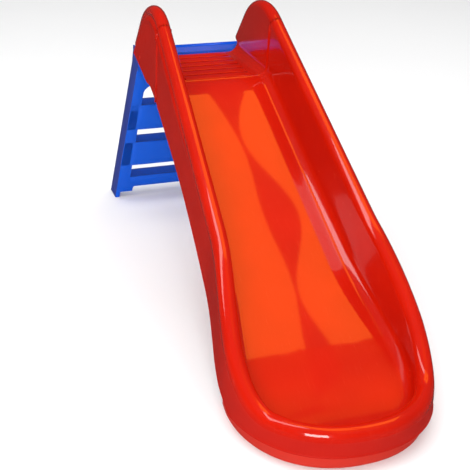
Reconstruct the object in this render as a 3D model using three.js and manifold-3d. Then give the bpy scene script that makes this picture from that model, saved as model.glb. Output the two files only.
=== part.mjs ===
// Folding toddler slide: one moulded slide body, an exit base and a moulded ladder on two hinge pins.
// Millimetres, +Z up. X runs across the slide, the exit points to -Y and the ladder to +Y.
import * as THREE from 'three';
import { mergeVertices } from 'three/addons/utils/BufferGeometryUtils.js';
import Module from 'manifold-3d';

const wasm = await Module();
wasm.setup();

// Slide body
const wall = 3; // thickness of every red skin
const platformHeight = 454; // top of the standing platform above the floor
const platformRear = 1089; // rear edge of the platform, measured from the tip of the exit
const platformDepth = 216; // front to rear length of the platform
const slopeRise = 0.575; // height lost per unit of run on the bed
const bedExitHeight = 24; // top of the flat run-out
const bedBlend = 14; // softness of the curve from slope to run-out
const edgeBlend = 5; // softness of the platform's front edge
const coveRadius = 24; // hollow corner between bed and side wall
const rimRadiusTop = 15.5; // rolled rim at the wings
const rimRadiusExit = 18; // rolled rim round the exit
const rimHalfTop = 134; // rim centre to the middle plane at the wings
const rimHalfExit = 172; // rim centre to the middle plane where the slope ends
const exitFlare = 18; // extra half width of the rounded end
const flareRun = 200; // run over which the sides flare out
const taperOverrun = 75; // the sides stop narrowing this far behind the platform's front edge
const rimOverBed = 116; // rim centre above the bed, along the slope
const rimExitHeight = 70; // rim centre above the floor at the exit
const dipLead = 162; // the rim starts to dip this far behind the rounded end
const dipPull = 110; // how long it keeps to the slope's direction
const dipSettle = 48; // past the start of the rounded end it comes near its level
const dipLift = 4; // above its level there
const dipEnd = 118; // past the start of the rounded end it is level
const exitDepth = 211; // length of the rounded end
const exitSquareness = 2.2; // superellipse power of the rounded end
const wingFootRise = 28; // the rear edge of the wing starts this far above the platform
const wingFootSetback = 18; // rear edge of the wing behind the platform
const wingRearRise = 1.25; // climb per unit of run on the wing's rear edge
const wingTipRadius = 122; // rounding of the wing tip, in side view
const wingJoin = 25; // the wing runs into the side wall this far behind the platform's front edge
const skirtExitHeight = 34; // lower edge of the outer skin at the exit
const skirtDraft = 2; // how far the outer skin leans out at its lower edge
const ribCount = 6; // anti-slip ribs across the platform
const ribWidth = 26;
const ribMargin = 8; // front and rear edge of the platform to the row of ribs
const ribHeight = 3;
const ribInset = 14; // rib ends to the cove

// Exit base
const baseInset = 12; // base outline inside the outer skin
const baseLength = 250; // how far the base reaches back under the exit
const baseWall = 3.5;
const baseRibCount = 4; // ribs across the underside plate
const baseBelowRim = 18; // top of the base below the rim centre
const baseRibShare = 0.5; // rib length as a share of the rim width

// Ladder
const ladderLean = 0.325; // run per unit of height
const ladderGap = 4; // platform rear edge to the ladder's front plane
const ladderDepth = 56; // front to rear depth of the rails and treads
const ladderSkin = 3.5;
const shoulderDrop = 34; // the ladder widens below this distance under the platform
const ladderHalfFoot = 177; // outer half width on the floor
const flangeTop = 26; // width of the rail's front flange at the top
const flangeFoot = 36; // and at the foot
const sidePlateDrop = 40; // how far the plates beside the top level reach down
const topLevelRise = 3; // top level of the ladder above the platform
const railLip = 9; // turned-in rear edge of the rail
const treadPitch = 119.5;
const lowestTread = 69;
const treadCount = 3;
const riserDrop = 78; // height of the panel below a tread
const archDrop = 109; // lower edge of the top panel beside the rails, below the platform
const archRise = 32; // how much higher its middle is
const archEnd = 12; // length of the panel's ends below that edge
const archStart = 8; // the arch starts this far below that edge
const skirtPanelGap = 21; // bottom panel above the floor, next to the feet
const skirtPanelStep = 12; // further lift of its middle part
const noseDrop = 10; // turned-down rear lip of each tread
const noseSetback = 0.6; // rear lip inside the rail's rear plane
const footFlare = 12; // extra width of the flange above the foot
const flareStraight = 10; // height over which it keeps that width
const flareTop = 16; // height above the foot where it ends
const footHeight = 17; // the flange stops this far above the floor
const footWidth = 13; // width of the part that stands on the floor

// Hinge
const hingeForward = 34; // hinge axis ahead of the platform's rear edge
const hingeRise = 12; // hinge axis above the platform top, inside the hollow wing
const pinRadius = 6;
const pinClearance = 0.35;
const earRadius = 15;
const earThickness = 7;
const armTaper = 1; // arm top below the top of the ear
const armBelow = 9; // arm bottom below the platform top
const armReach = 48; // arm end behind the ladder's front plane
const earClearance = 1.2; // ear to the outer skin, filled by the washer
const washerThickness = 0.6;
const washerRadius = 11;
const capRadius = 10;
const capThickness = 6;
const touch = 0.3; // gap kept between pieces that touch
const cutMargin = 5; // how far cutting shapes reach beyond the cut

// Derived places
const platformFront = platformRear - platformDepth;
const hingeY = platformRear - hingeForward;
const hingeZ = platformHeight + hingeRise;
const skinOuter = rimHalfTop + rimRadiusTop;
const skinInner = skinOuter - wall;
const earOuter = skinInner - earClearance;

const red = 0xd9260f;
const blue = 0x0a4fc8;
const grey = 0xb9bcc0;

function plastic(colour, roughness) {
  return new THREE.MeshStandardMaterial({ color: colour, roughness, metalness: 0 });
}

function toSolid(geometry) {
  const plain = geometry.index ? geometry.toNonIndexed() : geometry.clone();
  plain.deleteAttribute('normal');
  plain.deleteAttribute('uv');
  const merged = mergeVertices(plain, 1e-4);
  return new wasm.Manifold(new wasm.Mesh({
    numProp: 3,
    vertProperties: new Float32Array(merged.attributes.position.array),
    triVerts: new Uint32Array(merged.index.array),
  }));
}

function toGeometry(solid) {
  const data = solid.getMesh();
  const geometry = new THREE.BufferGeometry();
  geometry.setAttribute('position', new THREE.BufferAttribute(new Float32Array(data.vertProperties), 3));
  geometry.setIndex(new THREE.BufferAttribute(new Uint32Array(data.triVerts), 1));
  return geometry;
}

const smoothMax = (a, b, k) => (a + b + Math.sqrt((a - b) ** 2 + 4 * k * k)) / 2;
const smoothMin = (a, b, k) => -smoothMax(-a, -b, k);
const mix = (a, b, t) => a + (b - a) * t;

// Height of the bed and platform at a distance y from the tip of the exit.
function bedHeight(y) {
  const slope = platformHeight + slopeRise * (y - platformFront);
  const lower = smoothMax(bedExitHeight, slope, bedBlend);
  return smoothMin(lower, platformHeight, edgeBlend);
}

// Half width and radius of the rim at a distance y, tapering from the exit to the wings.
const taperEnd = platformFront + taperOverrun;
const taperShare = (y) => Math.min(1, Math.max(0, (y - exitDepth) / (taperEnd - exitDepth)));
const softStep = (t) => t * t * (3 - 2 * t);
const flareShare = (y) => softStep(Math.min(1, Math.max(0, (exitDepth + flareRun - y) / flareRun)));
const rimHalf = (y) => mix(rimHalfExit, rimHalfTop, taperShare(y)) + exitFlare * flareShare(y);
const rimRadius = (y) => mix(rimRadiusExit, rimRadiusTop, taperShare(y));
const rimSlope = (y) => platformHeight + rimOverBed + slopeRise * (y - platformFront);

// The rim leaves the slope, dips and runs out level towards the tip of the exit.
const dipStart = exitDepth + dipLead;
const dip = new THREE.CubicBezierCurve(
  new THREE.Vector2(dipStart, rimSlope(dipStart)),
  new THREE.Vector2(dipStart - dipPull, rimSlope(dipStart - dipPull)),
  new THREE.Vector2(exitDepth - dipSettle, rimExitHeight + dipLift),
  new THREE.Vector2(exitDepth - dipEnd, rimExitHeight),
);

function rimHeight(y) {
  if (y >= dipStart) return rimSlope(y);
  let low = 0;
  let high = 1;
  for (let round = 0; round < 30; round += 1) {
    const middle = (low + high) / 2;
    if (dip.getPoint(middle).x > y) low = middle;
    else high = middle;
  }
  return Math.max(rimExitHeight, dip.getPoint(low).y);
}

// Smooth height through a list of [place, value] pairs in rising order of place.
function throughPoints(pairs, place) {
  const last = pairs.length - 1;
  if (place <= pairs[0][0]) return pairs[0][1];
  if (place >= pairs[last][0]) return pairs[last][1];
  const index = pairs.findIndex(([at]) => at > place) - 1;
  const slopeAt = (k) => {
    const a = pairs[Math.max(0, k - 1)];
    const b = pairs[Math.min(last, k + 1)];
    return (b[1] - a[1]) / (b[0] - a[0]);
  };
  const [x0, y0] = pairs[index];
  const [x1, y1] = pairs[index + 1];
  const width = x1 - x0;
  const t = (place - x0) / width;
  return y0 * (1 + 2 * t) * (1 - t) ** 2 + slopeAt(index) * width * t * (1 - t) ** 2
    + y1 * t * t * (3 - 2 * t) + slopeAt(index + 1) * width * t * t * (t - 1);
}

// How far the outer skin hangs below the bed, over the run of the slope, and below the platform.
const slopeDrops = [[0, 51], [0.1, 42], [0.25, 24], [0.37, 14], [0.5, 12], [0.6, 14], [0.76, 26],
  [0.88, 38], [0.95, 34], [1, 24]];
const lobeReach = 24; // rear lobe of the wing behind the platform
const lobeDrops = [[-platformDepth, 51], [-141, 29], [-104, 29], [-50, 14], [-10, 3], [lobeReach, -6]];
function skirtHeight(y) {
  if (y >= platformFront) return platformHeight - throughPoints(lobeDrops, y - platformRear);
  const share = (platformFront - y) / (platformFront - exitDepth);
  return Math.max(skirtExitHeight, bedHeight(y) - throughPoints(slopeDrops, share));
}

const signedPower = (value, power) => Math.sign(value) * Math.abs(value) ** power;

const stationGap = 10; // least run between the last wing station and the next
const edgeStation = 8; // stations this far before and behind the platform's front edge

// Stations along one side: rim centre, level direction into the slide, floor run and skirt run.
function sideStations() {
  const foot = new THREE.Vector2(platformRear + wingFootSetback, platformHeight + wingFootRise);
  const cornerRun = (foot.y + wingRearRise * foot.x - rimSlope(0)) / (slopeRise + wingRearRise);
  const corner = new THREE.Vector2(cornerRun, rimSlope(cornerRun));
  const rearWay = foot.clone().sub(corner).normalize();
  const slopeWay = new THREE.Vector2(-1, -slopeRise).normalize();
  const turn = Math.PI - Math.acos(rearWay.dot(slopeWay));
  const reach = wingTipRadius * Math.tan(turn / 2);
  const arcStart = corner.clone().addScaledVector(rearWay, reach);
  const arcEnd = corner.clone().addScaledVector(slopeWay, reach);
  const arcCentre = corner.clone().addScaledVector(
    rearWay.clone().add(slopeWay).normalize(), wingTipRadius / Math.cos(turn / 2));
  const wing = [];
  const rearSteps = 4;
  for (let step = 0; step < rearSteps; step += 1) {
    wing.push(foot.clone().lerp(arcStart, step / rearSteps));
  }
  const arcSteps = 7;
  const startAngle = Math.atan2(arcStart.y - arcCentre.y, arcStart.x - arcCentre.x);
  for (let step = 0; step <= arcSteps; step += 1) {
    const angle = startAngle + (turn * step) / arcSteps;
    wing.push(new THREE.Vector2(
      arcCentre.x + wingTipRadius * Math.cos(angle), arcCentre.y + wingTipRadius * Math.sin(angle)));
  }
  const joinRun = Math.min(arcEnd.x - stationGap, platformFront + wingJoin);
  const skirtEnd = platformRear + lobeReach;
  const stations = wing.map((point, index) => {
    const share = index / wing.length;
    return {
      rim: new THREE.Vector3(rimHalf(point.x), point.x, point.y),
      inward: new THREE.Vector3(-1, 0, 0),
      floorRun: mix(platformRear, joinRun, share),
      skirtRun: mix(skirtEnd, joinRun, share),
    };
  });
  const runs = [joinRun, platformFront + edgeStation, platformFront - edgeStation];
  const slopeSteps = 11;
  for (let step = 1; step <= slopeSteps; step += 1) {
    runs.push(mix(platformFront - edgeStation, dipStart, step / slopeSteps));
  }
  const dipSteps = 6;
  for (let step = 1; step < dipSteps; step += 1) runs.push(mix(dipStart, exitDepth, step / dipSteps));
  runs.forEach((y) => stations.push({
    rim: new THREE.Vector3(rimHalf(y), y, rimHeight(y)),
    inward: new THREE.Vector3(-1, 0, 0),
    floorRun: y,
    skirtRun: y,
  }));
  const exitSteps = 11;
  const endDepth = exitDepth - rimRadiusExit;
  const endHalf = rimHalf(exitDepth);
  for (let step = 0; step <= exitSteps; step += 1) {
    const angle = (Math.PI / 2) * (step / exitSteps);
    const across = signedPower(Math.cos(angle), 2 / exitSquareness);
    const along = signedPower(Math.sin(angle), 2 / exitSquareness);
    const x = step === exitSteps ? 0 : endHalf * across;
    const y = exitDepth - endDepth * along;
    const inward = new THREE.Vector3(
      -(across ** (exitSquareness - 1)) / endHalf, (along ** (exitSquareness - 1)) / endDepth, 0);
    if (step === exitSteps) inward.set(0, 1, 0);
    stations.push({ rim: new THREE.Vector3(x, y, rimHeight(y)), inward: inward.normalize() });
  }
  stations.forEach((station, index) => {
    const before = stations[Math.max(0, index - 1)].rim;
    const after = stations[Math.min(stations.length - 1, index + 1)].rim;
    const way = after.clone().sub(before);
    if (index === stations.length - 1) way.set(-1, 0, 0);
    station.up = station.inward.clone().cross(way.normalize()).normalize();
  });
  return stations;
}

// One cross-section of the visible skin, from the middle of the bed out to the skirt's lower edge.
const floorSteps = 3;
const coveSteps = 4;
const wallSteps = 2;
const rimSteps = 7;
const skirtSteps = 3;
function sectionPoints(station) {
  const { rim, inward, up } = station;
  const radius = rimRadius(rim.y);
  const straight = station.floorRun !== undefined;
  const corner = rim.clone().addScaledVector(inward, radius + skirtDraft);
  if (straight) corner.y = station.floorRun;
  if (straight) corner.x = rimHalf(station.floorRun) - rimRadius(station.floorRun) - skirtDraft;
  const spineRun = straight ? station.floorRun : exitDepth;
  const floorEnd = corner.clone().addScaledVector(inward, coveRadius);
  const points = [];
  for (let step = 0; step < floorSteps; step += 1) {
    const t = step / floorSteps;
    const y = mix(spineRun, floorEnd.y, t);
    points.push(new THREE.Vector3(floorEnd.x * t, y, bedHeight(y)));
  }
  for (let step = 0; step <= coveSteps; step += 1) {
    const angle = (Math.PI / 2) * (step / coveSteps);
    const point = corner.clone().addScaledVector(inward, coveRadius * (1 - Math.sin(angle)));
    point.z = bedHeight(point.y) + coveRadius * (1 - Math.cos(angle));
    points.push(point);
  }
  const wallFoot = points[points.length - 1];
  const wallHead = rim.clone().addScaledVector(inward, radius);
  for (let step = 1; step < wallSteps; step += 1) {
    points.push(wallFoot.clone().lerp(wallHead, step / wallSteps));
  }
  for (let step = 0; step <= rimSteps; step += 1) {
    const angle = Math.PI * (step / rimSteps);
    points.push(rim.clone().addScaledVector(inward, radius * Math.cos(angle))
      .addScaledVector(up, radius * Math.sin(angle)));
  }
  const skirtHead = points[points.length - 1];
  const skirtFoot = rim.clone().addScaledVector(inward, -radius - skirtDraft);
  if (straight) skirtFoot.y = station.skirtRun;
  if (straight) skirtFoot.x = rimHalf(station.skirtRun) + rimRadius(station.skirtRun) + skirtDraft;
  skirtFoot.z = skirtHeight(skirtFoot.y);
  for (let step = 1; step <= skirtSteps; step += 1) {
    points.push(skirtHead.clone().lerp(skirtFoot, step / skirtSteps));
  }
  return points;
}

// Closed skin of the given thickness below a grid of surface points.
function shellFromGrid(rows, thickness) {
  const tall = rows.length;
  const wide = rows[0].length;
  const at = (i, j) => rows[Math.min(tall - 1, Math.max(0, i))][Math.min(wide - 1, Math.max(0, j))];
  const under = rows.map((row, i) => row.map((point, j) => {
    const normal = new THREE.Vector3();
    [[1, 1], [-1, 1], [-1, -1], [1, -1]].forEach(([di, dj]) => {
      const a = at(i + di, j).clone().sub(point);
      const b = at(i, j + dj).clone().sub(point);
      normal.addScaledVector(a.cross(b), di * dj);
    });
    if (Math.abs(point.x) < 1e-6) normal.x = 0;
    if (j === 0) {
      const step = 1;
      const rise = (bedHeight(point.y + step) - bedHeight(point.y - step)) / (2 * step);
      normal.set(0, -rise, 1);
    }
    normal.normalize();
    return point.clone().addScaledVector(normal, -thickness);
  }));
  const corners = [];
  const quad = (a, b, c, d) => corners.push(a, b, c, a, c, d);
  for (let i = 0; i < tall - 1; i += 1) {
    for (let j = 0; j < wide - 1; j += 1) {
      quad(rows[i][j], rows[i + 1][j], rows[i + 1][j + 1], rows[i][j + 1]);
      quad(under[i][j], under[i][j + 1], under[i + 1][j + 1], under[i + 1][j]);
    }
    quad(rows[i][wide - 1], rows[i + 1][wide - 1], under[i + 1][wide - 1], under[i][wide - 1]);
  }
  for (let j = 0; j < wide - 1; j += 1) {
    quad(rows[0][j + 1], under[0][j + 1], under[0][j], rows[0][j]);
    const end = tall - 1;
    quad(rows[end][j], under[end][j], under[end][j + 1], rows[end][j + 1]);
  }
  return solidFromCorners(corners);
}

function solidFromCorners(corners) {
  const round = (value) => Math.round(value * 1e3) / 1e3 + 0;
  const index = new Map();
  const vertices = [];
  const ids = corners.map((point) => {
    const key = [round(point.x), round(point.y), round(point.z)];
    const name = key.join(',');
    if (!index.has(name)) {
      index.set(name, vertices.length / 3);
      vertices.push(...key);
    }
    return index.get(name);
  });
  const triangles = [];
  for (let k = 0; k < ids.length; k += 3) {
    const [a, b, c] = ids.slice(k, k + 3);
    if (a !== b && b !== c && c !== a) triangles.push(a, b, c);
  }
  return new wasm.Manifold(new wasm.Mesh({
    numProp: 3,
    vertProperties: new Float32Array(vertices),
    triVerts: new Uint32Array(triangles),
  }));
}

function boxSolid(low, high) {
  const size = high.map((value, axis) => value - low[axis]);
  const geometry = new THREE.BoxGeometry(...size);
  geometry.translate(...low.map((value, axis) => value + size[axis] / 2));
  return toSolid(geometry);
}

// Cylinder along X between two planes.
function rodSolid(radius, from, to, y, z, sides = 24) {
  const geometry = new THREE.CylinderGeometry(radius, radius, Math.abs(to - from), sides);
  geometry.rotateZ(Math.PI / 2);
  geometry.translate((from + to) / 2, y, z);
  return toSolid(geometry);
}

function slideBody() {
  const right = sideStations().map(sectionPoints);
  const mirrored = right.slice(0, -1).reverse()
    .map((row) => row.map((point) => new THREE.Vector3(-point.x, point.y, point.z)));
  let solid = shellFromGrid([...right, ...mirrored], wall);
  if (solid.volume() < 0) throw new Error('the slide skin is inside out');
  const ribHalf = rimHalf(platformRear) - rimRadiusTop - skirtDraft - coveRadius - ribInset;
  const pitch = (platformDepth - 2 * ribMargin) / ribCount;
  for (let index = 0; index < ribCount; index += 1) {
    const middle = platformRear - ribMargin - pitch * (index + 0.5);
    solid = solid.add(boxSolid([-ribHalf, middle - ribWidth / 2, platformHeight - wall / 2],
      [ribHalf, middle + ribWidth / 2, platformHeight + ribHeight]));
  }
  const hole = pinRadius + pinClearance;
  [-1, 1].forEach((side) => {
    solid = solid.subtract(rodSolid(hole, side * (skinInner - cutMargin), side * (skinOuter + cutMargin), hingeY, hingeZ));
  });
  return solid;
}

// Plan outline of the exit, a given distance outside (+) or inside (-) the rim's centre line.
function exitOutline(offset, backRun) {
  const half = sideStations().filter(({ rim }) => rim.y < backRun)
    .map(({ rim, inward }) => rim.clone().addScaledVector(inward, -offset));
  const back = new THREE.Vector3(rimHalf(backRun) + offset, backRun, 0);
  const right = [back, ...half];
  const left = right.slice(0, -1).reverse().map((point) => new THREE.Vector3(-point.x, point.y, 0));
  return new THREE.Shape([...right, ...left].map((point) => new THREE.Vector2(point.x, point.y)));
}

function prism(shape, low, high) {
  const geometry = new THREE.ExtrudeGeometry(shape, { depth: high - low, bevelEnabled: false });
  geometry.translate(0, 0, low);
  return toSolid(geometry);
}

const skinAllowance = 1.3; // upright thickness of the sloping skin, in wall thicknesses
const firstBaseRib = rimRadiusExit * 4;

function exitBase() {
  const outer = rimRadiusExit + skirtDraft - baseInset;
  const top = rimExitHeight - baseBelowRim;
  const tray = prism(exitOutline(outer, baseLength), 0, top);
  const inside = prism(exitOutline(outer - baseWall, baseLength - baseWall), baseWall, top + 1);
  let solid = tray.subtract(inside);
  for (let index = 0; index < baseRibCount; index += 1) {
    const y = mix(firstBaseRib, exitDepth, (index + 0.5) / baseRibCount);
    const ribHead = bedHeight(y - baseWall) - wall * skinAllowance - touch;
    const across = rimHalfExit * baseRibShare;
    solid = solid.add(boxSolid([-across, y - baseWall / 2, baseWall / 2], [across, y + baseWall / 2, ribHead]));
  }
  return solid;
}

// Front plane of the ladder and outer half width at a height.
const ladderFront = (z) => platformRear + ladderGap + ladderLean * (platformHeight - z);
const shoulder = platformHeight - shoulderDrop; // below this the ladder widens towards the foot
const ladderHalf = (z) => mix(ladderHalfFoot, earOuter, Math.min(1, z / shoulder));
const flangeWidth = (z) => mix(flangeFoot, flangeTop, Math.min(1, z / platformHeight));

// Solid between matching level outlines at rising heights.
function loft(levels) {
  const corners = [];
  const rings = levels.map(({ z, outline }) => outline.map(([x, y]) => new THREE.Vector3(x, y, z)));
  const count = rings[0].length;
  for (let k = 0; k < rings.length - 1; k += 1) {
    for (let i = 0; i < count; i += 1) {
      const j = (i + 1) % count;
      corners.push(rings[k][i], rings[k][j], rings[k + 1][j], rings[k][i], rings[k + 1][j], rings[k + 1][i]);
    }
  }
  const faces = THREE.ShapeUtils.triangulateShape(
    levels[0].outline.map(([x, y]) => new THREE.Vector2(x, y)), []);
  const top = rings[rings.length - 1];
  faces.forEach(([a, b, c]) => {
    corners.push(rings[0][a], rings[0][c], rings[0][b], top[a], top[b], top[c]);
  });
  return solidFromCorners(corners);
}

// Channel section of the right rail at a height, counter-clockwise seen from above.
function railOutline(z, extra) {
  const x = ladderHalf(z);
  const front = ladderFront(z);
  const back = front + ladderDepth;
  const flange = x - flangeWidth(z) - extra;
  return [
    [flange, front], [x, front], [x, back], [x - railLip, back], [x - railLip, back - ladderSkin],
    [x - ladderSkin, back - ladderSkin], [x - ladderSkin, front + ladderSkin], [flange, front + ladderSkin],
  ];
}

function mirrorX(solid) {
  return solid.mirror([1, 0, 0]);
}

// Panel in the ladder's front plane between two heights, as wide as the rails allow.
function frontPanel(low, high, halfLow, halfHigh) {
  const outline = (z, half) => ({
    z,
    outline: [[-half, ladderFront(z)], [half, ladderFront(z)],
      [half, ladderFront(z) + ladderSkin], [-half, ladderFront(z) + ladderSkin]],
  });
  return loft([outline(low, halfLow), outline(high, halfHigh)]);
}

const plateThickness = ladderSkin + 0.5; // plates beside the top level
const archShoulder = 0.8; // fullness of the arch near its ends
const archCrown = 0.6; // and near its middle
const archCutReach = 30; // how far the arch's cutting shape passes the panel
const stepMargin = 4; // lifted middle of the bottom panel to the flanges

function ladderSolid() {
  const footOutline = (z) => railOutline(z, footWidth - flangeWidth(z));
  const foot = loft([{ z: 0, outline: footOutline(0) }, { z: footHeight + 1, outline: footOutline(footHeight + 1) }]);
  const rail = loft([
    { z: footHeight, outline: railOutline(footHeight, footFlare) },
    { z: footHeight + flareStraight, outline: railOutline(footHeight + flareStraight, footFlare) },
    { z: footHeight + flareTop, outline: railOutline(footHeight + flareTop, 0) },
    { z: shoulder, outline: railOutline(shoulder, 0) },
    { z: platformHeight, outline: railOutline(platformHeight, 0) },
  ]);
  const hub = rodSolid(earRadius, earOuter - earThickness, earOuter, hingeY, hingeZ, 28);
  const armHalf = earRadius - armTaper;
  const arm = boxSolid([earOuter - earThickness, hingeY, platformHeight - armBelow],
    [earOuter, ladderFront(platformHeight) + armReach, hingeZ + armHalf]);
  let side = rail.add(foot).add(hub).add(arm);
  const plateFront = ladderFront(platformHeight) + ladderSkin / 2;
  const plateRear = ladderFront(platformHeight) + ladderDepth - noseSetback;
  side = side.add(boxSolid([earOuter - plateThickness, plateFront, platformHeight - sidePlateDrop],
    [earOuter, plateRear, platformHeight + topLevelRise]));
  let solid = side.add(mirrorX(side));
  const inside = (z) => ladderHalf(z) - ladderSkin / 2;
  const level = (z) => {
    const front = ladderFront(z) + ladderSkin / 2;
    const back = ladderFront(z) + ladderDepth - noseSetback;
    const half = inside(z);
    const tread = boxSolid([-half, front, z - ladderSkin], [half, back, z]);
    const nose = boxSolid([-half, back - ladderSkin, z - noseDrop], [half, back, z]);
    return tread.add(nose);
  };
  const treads = Array.from({ length: treadCount }, (_, index) => lowestTread + treadPitch * index);
  treads.forEach((z, index) => {
    solid = solid.add(level(z));
    if (index > 0) solid = solid.add(frontPanel(z - riserDrop, z, inside(z - riserDrop), inside(z)));
  });
  solid = solid.add(level(platformHeight + topLevelRise));
  const archSide = platformHeight - archDrop;
  const topPanel = frontPanel(archSide - archEnd, platformHeight + topLevelRise, inside(archSide - archEnd),
    inside(platformHeight));
  const archHalf = ladderHalf(archSide) - flangeWidth(archSide);
  const arch = new THREE.Shape();
  arch.moveTo(-archHalf, archSide - archEnd - archCutReach);
  arch.lineTo(archHalf, archSide - archEnd - archCutReach);
  arch.lineTo(archHalf, archSide - archStart);
  arch.bezierCurveTo(archHalf, archSide + archRise * archShoulder, archHalf * archCrown, archSide + archRise,
    0, archSide + archRise);
  arch.bezierCurveTo(-archHalf * archCrown, archSide + archRise, -archHalf, archSide + archRise * archShoulder,
    -archHalf, archSide - archStart);
  const archCut = new THREE.ExtrudeGeometry(arch, { depth: 2 * archCutReach, bevelEnabled: false, curveSegments: 8 });
  archCut.rotateX(Math.PI / 2);
  archCut.translate(0, ladderFront(archSide) + archCutReach, 0);
  solid = solid.add(topPanel.subtract(toSolid(archCut)));
  const bottomPanel = frontPanel(skirtPanelGap, lowestTread, inside(skirtPanelGap), inside(lowestTread));
  const stepHalf = ladderHalf(0) - flangeWidth(0) - footFlare - stepMargin;
  const lift = boxSolid([-stepHalf, ladderFront(0) - archCutReach, 0],
    [stepHalf, ladderFront(0) + archCutReach, skirtPanelGap + skirtPanelStep]);
  solid = solid.add(bottomPanel.subtract(lift));
  const hole = pinRadius + pinClearance;
  [-1, 1].forEach((way) => {
    solid = solid.subtract(rodSolid(hole, way * (earOuter - earThickness - cutMargin), way * (earOuter + cutMargin),
      hingeY, hingeZ));
  });
  return solid;
}

// Plain pin through the outer skin and the ladder's ear, flush outside, for the side given by way.
function pinSolid(way) {
  const tip = earOuter - earThickness - capThickness;
  return rodSolid(pinRadius, way * tip, way * (skinOuter + skirtDraft / 2), hingeY, hingeZ);
}

function ringSolid(outer, inner, from, to) {
  return rodSolid(outer, from, to, hingeY, hingeZ, 28)
    .subtract(rodSolid(inner, from - Math.sign(to) * cutMargin, to + Math.sign(to) * cutMargin, hingeY, hingeZ));
}

const slide = new THREE.Group();

function addPiece(name, solid, material) {
  const mesh = new THREE.Mesh(toGeometry(solid), material);
  mesh.name = name;
  slide.add(mesh);
}

addPiece('slide_body', slideBody(), plastic(red, 0.3));
addPiece('exit_base', exitBase(), plastic(red, 0.45));
addPiece('ladder', ladderSolid(), plastic(blue, 0.35));
[['left', -1], ['right', 1]].forEach(([name, way]) => {
  const bore = pinRadius + touch;
  addPiece(`hinge_pin_${name}`, pinSolid(way), plastic(red, 0.35));
  const washerFrom = way * (earOuter + touch);
  addPiece(`hinge_washer_${name}`,
    ringSolid(washerRadius, bore, washerFrom, washerFrom + way * washerThickness), plastic(grey, 0.5));
  const capFrom = way * (earOuter - earThickness - capThickness);
  addPiece(`hinge_cap_${name}`,
    ringSolid(capRadius, bore, capFrom, capFrom + way * (capThickness - touch)), plastic(grey, 0.4));
});

// The origin is the middle of the footprint, on the floor.
const extent = new THREE.Box3().setFromObject(slide);
slide.position.set(0, -(extent.min.y + extent.max.y) / 2, -extent.min.z);
slide.updateMatrixWorld(true);

export default slide;
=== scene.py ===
import bpy
import math
from mathutils import Matrix, Vector


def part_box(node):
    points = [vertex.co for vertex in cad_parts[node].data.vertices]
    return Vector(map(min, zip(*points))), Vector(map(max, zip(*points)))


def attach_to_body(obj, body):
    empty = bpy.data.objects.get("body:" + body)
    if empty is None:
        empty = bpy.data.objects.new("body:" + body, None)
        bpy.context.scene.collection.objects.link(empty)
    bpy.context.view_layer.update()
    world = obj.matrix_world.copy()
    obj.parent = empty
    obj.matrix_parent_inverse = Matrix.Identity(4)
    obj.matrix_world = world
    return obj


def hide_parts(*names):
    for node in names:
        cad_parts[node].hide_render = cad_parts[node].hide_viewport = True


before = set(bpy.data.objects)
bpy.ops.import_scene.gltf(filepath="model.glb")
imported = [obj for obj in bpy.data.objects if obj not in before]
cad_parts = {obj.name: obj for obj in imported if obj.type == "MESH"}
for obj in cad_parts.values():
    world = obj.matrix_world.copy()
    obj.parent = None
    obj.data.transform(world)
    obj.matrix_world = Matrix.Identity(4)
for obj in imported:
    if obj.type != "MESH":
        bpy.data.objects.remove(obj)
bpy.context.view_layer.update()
bpy.context.scene.view_settings.view_transform = "Standard"


# small helpers

def mix(a, b, t):
    return a + (b - a) * t


def softStep(t):
    t = min(1.0, max(0.0, t))
    return t * t * (3 - 2 * t)


def smoothMax(a, b, k):
    return (a + b + math.sqrt((a - b) ** 2 + 4 * k * k)) / 2


def smoothMin(a, b, k):
    return -smoothMax(-a, -b, k)


def signedPower(value, power):
    return math.copysign(abs(value) ** power, value)


# smooth height through pairs of place and value
def throughPoints(pairs, place):
    last = len(pairs) - 1
    if place <= pairs[0][0]:
        return pairs[0][1]
    if place >= pairs[last][0]:
        return pairs[last][1]
    index = next(k for k, pair in enumerate(pairs) if pair[0] > place) - 1

    def lean(k):
        a = pairs[max(0, k - 1)]
        b = pairs[min(last, k + 1)]
        return (b[1] - a[1]) / (b[0] - a[0])

    x0, y0 = pairs[index]
    x1, y1 = pairs[index + 1]
    width = x1 - x0
    t = (place - x0) / width
    start = y0 * (1 + 2 * t) * (1 - t) ** 2 + lean(index) * width * t * (1 - t) ** 2
    end = y1 * t * t * (3 - 2 * t) + lean(index + 1) * width * t * t * (t - 1)
    return start + end


def clearSelection():
    for item in bpy.context.selected_objects:
        item.select_set(False)


def pick(piece):
    clearSelection()
    bpy.context.view_layer.objects.active = piece
    piece.select_set(True)


def applyModifier(piece, kind, **settings):
    pick(piece)
    added = piece.modifiers.new(kind.lower(), kind)
    for key, value in settings.items():
        setattr(added, key, value)
    bpy.ops.object.modifier_apply(modifier=added.name)


def editAll(piece, *steps):
    pick(piece)
    bpy.ops.object.mode_set(mode="EDIT")
    bpy.ops.mesh.select_all(action="SELECT")
    for step in steps:
        step()
    bpy.ops.object.mode_set(mode="OBJECT")


def faceOutward():
    bpy.ops.mesh.normals_make_consistent(inside=False)


def smoothSides(piece, angle):
    pick(piece)
    bpy.ops.object.shade_smooth_by_angle(angle=math.radians(angle))


def removePiece(piece):
    mesh = piece.data
    bpy.data.objects.remove(piece)
    bpy.data.meshes.remove(mesh)


# join a part into a solid, or cut it out
def combine(piece, other, operation):
    applyModifier(piece, "BOOLEAN", object=other, operation=operation, solver="EXACT")
    removePiece(other)


# one piece takes over the mesh of another
def attach(piece, other):
    clearSelection()
    other.select_set(True)
    piece.select_set(True)
    bpy.context.view_layer.objects.active = piece
    bpy.ops.object.join()


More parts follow.
